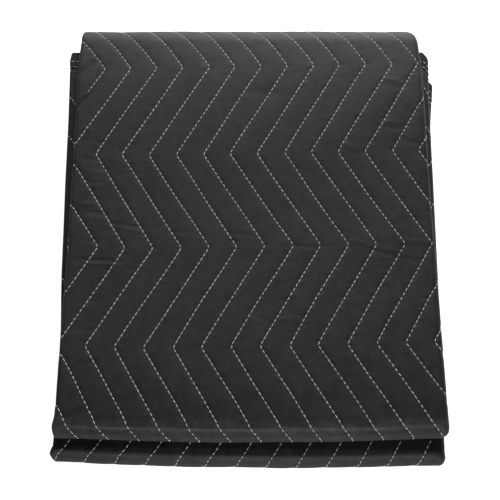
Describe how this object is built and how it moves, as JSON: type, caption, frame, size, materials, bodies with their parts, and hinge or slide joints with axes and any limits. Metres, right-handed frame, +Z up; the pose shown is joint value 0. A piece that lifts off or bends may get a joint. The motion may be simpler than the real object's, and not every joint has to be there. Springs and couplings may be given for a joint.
{
  "type": "folded moving pad",
  "caption": "Quilted cloth moving pad with zigzag stitching and bound edges, folded into a flat rectangular stack.",
  "frame": {"origin": "centre of the bounding box on the ground, under the folded stack", "axes": "+X to the right along the front rolls, +Y from the front rolls to the back wrap, +Z up"},
  "size_m": [0.4752, 0.573, 0.0623],
  "materials": {
    "pad_cloth": "fine woven, matt with a slight sheen",
    "binding_cloth": "coarse matt tape"
  },
  "bodies": {
    "root": {"pad": "pad_cloth", "binding_end_upper": "binding_cloth", "binding_end_lower": "binding_cloth", "binding_side_upper": "binding_cloth", "binding_side_lower": "binding_cloth"}
  },
  "joints": []
}
